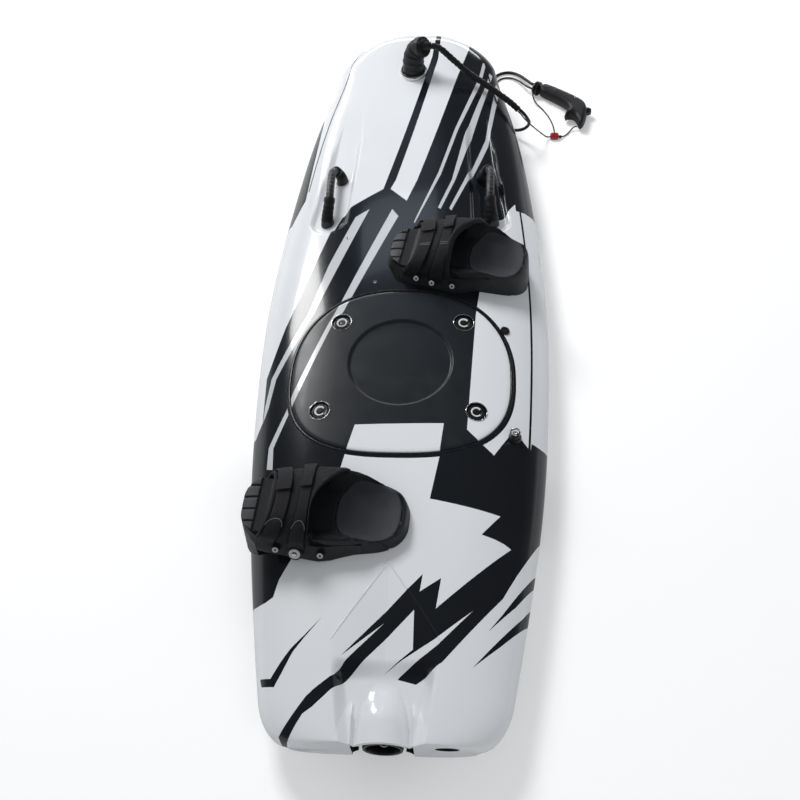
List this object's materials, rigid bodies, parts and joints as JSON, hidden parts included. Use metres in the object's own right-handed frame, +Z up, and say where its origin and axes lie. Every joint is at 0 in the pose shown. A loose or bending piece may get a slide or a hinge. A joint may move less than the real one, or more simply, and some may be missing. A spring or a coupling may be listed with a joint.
{
  "type": "motorized surfboard",
  "caption": "Water jet surfboard with a lift-off engine hatch, foot bindings, side carrying grips and a hand throttle on a cable from the nose.",
  "frame": {"origin": "amidships on the flat of the bottom, which is the plane the board rests on", "axes": "+Y towards the nose, +X to starboard, +Z up out of the deck"},
  "size_m": [0.7472, 1.8346, 0.2597],
  "materials": {
    "board_white": "gloss pearl white lacquer with near black and pale grey graphics",
    "hatch_black": "satin black lacquer with a white block",
    "rubber": "matte black",
    "steel": "machined stainless",
    "dark_metal": "dark anodised",
    "plastic": "satin black moulding",
    "sole": "moulded foam rubber",
    "padding": "black padded upper",
    "webbing": "black webbing",
    "chrome": "polished",
    "red_plastic": "red moulding",
    "cord": "thin black cord"
  },
  "bodies": {
    "board": {"deck": "board_white", "hull": "board_white", "hatch_seal": "rubber", "engine_block": "dark_metal", "pump_housing": "dark_metal", "jet_nozzle": "steel", "intake_grate": "dark_metal", "fin_left": "plastic", "fin_right": "plastic", "exhaust_outlet": "rubber", "grip_left": "rubber", "grip_left_boot_aft": "rubber", "grip_left_boot_fore": "rubber", "grip_right": "rubber", "grip_right_boot_aft": "rubber", "grip_right_boot_fore": "rubber", "front_binding_sole": "sole", "front_binding_arch": "padding", "front_strap_toe": "webbing", "front_strap_heel": "webbing", "rear_binding_sole": "sole", "rear_binding_arch": "padding", "rear_strap_toe": "webbing", "rear_strap_heel": "webbing", "drain_cap": "plastic", "leash_post": "plastic", "leash_eye": "chrome", "outlet_ring": "chrome", "cable_boot": "rubber", "throttle_grip": "plastic", "throttle_collar": "plastic", "stop_button": "plastic", "stop_clip": "red_plastic", "cable_sleeve": "rubber", "throttle_cable": "rubber", "stop_cable": "rubber", "lanyard_long": "cord", "lanyard_collar": "cord", "lanyard_grip": "cord"},
    "hatch": {"hatch_lid": "hatch_black", "hatch_latch_1": "steel", "hatch_latch_2": "steel", "hatch_latch_3": "steel", "hatch_latch_4": "steel"},
    "impeller": {"impeller": "steel"}
  },
  "joints": [
    {"name": "hatch_lift", "type": "slide", "parent": "board", "child": "hatch", "axis": [0, 0, 1], "range_m": [0, 0.12]},
    {"name": "impeller_spin", "type": "hinge", "parent": "board", "child": "impeller", "pos_m": [0, -0.7, 0.072], "axis": [0, 1, 0], "continuous": true}
  ]
}
